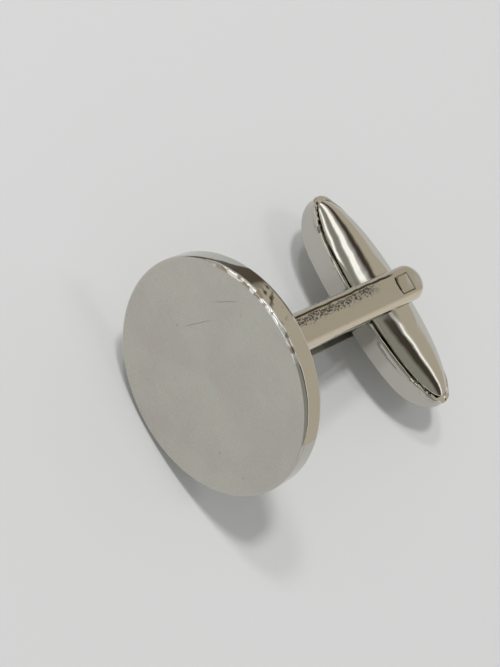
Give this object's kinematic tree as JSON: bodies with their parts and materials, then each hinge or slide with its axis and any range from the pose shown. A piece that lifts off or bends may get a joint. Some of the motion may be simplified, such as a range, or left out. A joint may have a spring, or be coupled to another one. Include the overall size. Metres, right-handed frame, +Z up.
{
  "type": "cufflink",
  "caption": "Swivel-bar cufflink: round head, forked post and a torpedo toggle that turns on a squared pin and clicks open and closed to hold a shirt cuff.",
  "frame": {"origin": "centre of the bounding box at the level of the table that the link lies on", "axes": "+Z up from the table; +X along the toggle as it lies open; +Y along the table from the head towards the toggle"},
  "size_m": [0.0181, 0.023, 0.0167],
  "materials": {
    "head_metal": "bright plated metal, lightly smudged face",
    "post_metal": "bright plated metal, faintly pitted along one edge",
    "toggle_metal": "mirror-polished plated metal",
    "braze_metal": "plated over, slightly uneven",
    "pin_steel": "filed flush",
    "spring_steel": "plain spring steel"
  },
  "bodies": {
    "post": {"head_disc": "head_metal", "post_fork": "post_metal", "braze_fillet": "braze_metal", "pivot_pin": "pin_steel"},
    "toggle": {"toggle_core": "toggle_metal", "cheek_near": "toggle_metal", "cheek_far": "toggle_metal", "detent_spring": "spring_steel"}
  },
  "joints": [
    {"name": "toggle_swivel", "type": "hinge", "parent": "post", "child": "toggle", "pos_m": [0, 0.00866, 0.00355], "axis": [0, 0.2682, 0.9634], "range_deg": [-93.5, 86.5]}
  ]
}
